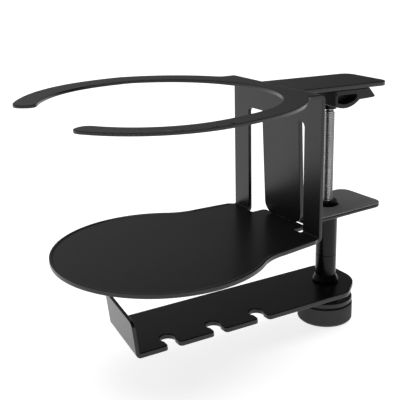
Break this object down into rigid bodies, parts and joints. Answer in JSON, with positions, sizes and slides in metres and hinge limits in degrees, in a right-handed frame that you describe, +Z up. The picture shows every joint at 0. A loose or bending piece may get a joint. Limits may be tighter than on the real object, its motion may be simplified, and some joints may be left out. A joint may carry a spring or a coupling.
{
  "type": "desk clamp cup holder",
  "caption": "Cup holder for a desk edge: an open ring above a round tray on a screw clamp, with a swinging hook arm below.",
  "frame": {"origin": "middle of the upper jaw pad's flat lower face, which rests on the desk top", "axes": "+Z up; +Y from the desk's edge in over the desk; the cup ring is on the -Y side; X runs along the desk's edge"},
  "size_m": [0.1098, 0.1635, 0.1206],
  "materials": {
    "black_steel": "satin black powder coat on bent steel sheet",
    "zinc": "bright zinc plated steel",
    "black_rubber": "soft black rubber",
    "grey_pad": "thin grey rubber sheet",
    "black_knob": "black anodised, finely knurled",
    "brass": "plain turned brass"
  },
  "bodies": {
    "bracket": {"cup_bracket": "black_steel", "clamp_bracket": "black_steel", "upper_jaw_pad": "black_rubber", "rod_top_boss": "black_steel"},
    "screw": {"threaded_rod": "zinc", "rod_clip": "zinc", "clip_washer": "zinc", "spacer_sleeve": "black_steel", "arm_collar": "black_steel", "arm_washer": "zinc", "wave_washer": "zinc", "knob": "black_knob", "knob_insert": "brass", "knob_lock_nut": "zinc"},
    "lower_jaw": {"jaw_nut": "black_steel", "lower_jaw_pad": "grey_pad", "lower_jaw_plate": "black_steel", "jaw_flange": "black_steel", "jaw_sleeve": "black_steel"},
    "arm": {"hanger_arm": "black_steel"}
  },
  "joints": [
    {"name": "knob_turn", "type": "hinge", "parent": "bracket", "child": "screw", "pos_m": [0, -0.0099, -0.09], "axis": [0, 0, -1], "range_deg": [0, 18900]},
    {"name": "jaw_slide", "type": "slide", "parent": "bracket", "child": "lower_jaw", "axis": [0, 0, 1], "range_m": [0, 0.0421]},
    {"name": "hanger_swing", "type": "hinge", "parent": "bracket", "child": "arm", "pos_m": [0, -0.0099, -0.091], "axis": [0, 0, 1], "continuous": true}
  ],
  "couplings": [
    {"joint": "jaw_slide", "follows": "knob_turn", "m_per_rad": 0.00012732}
  ]
}
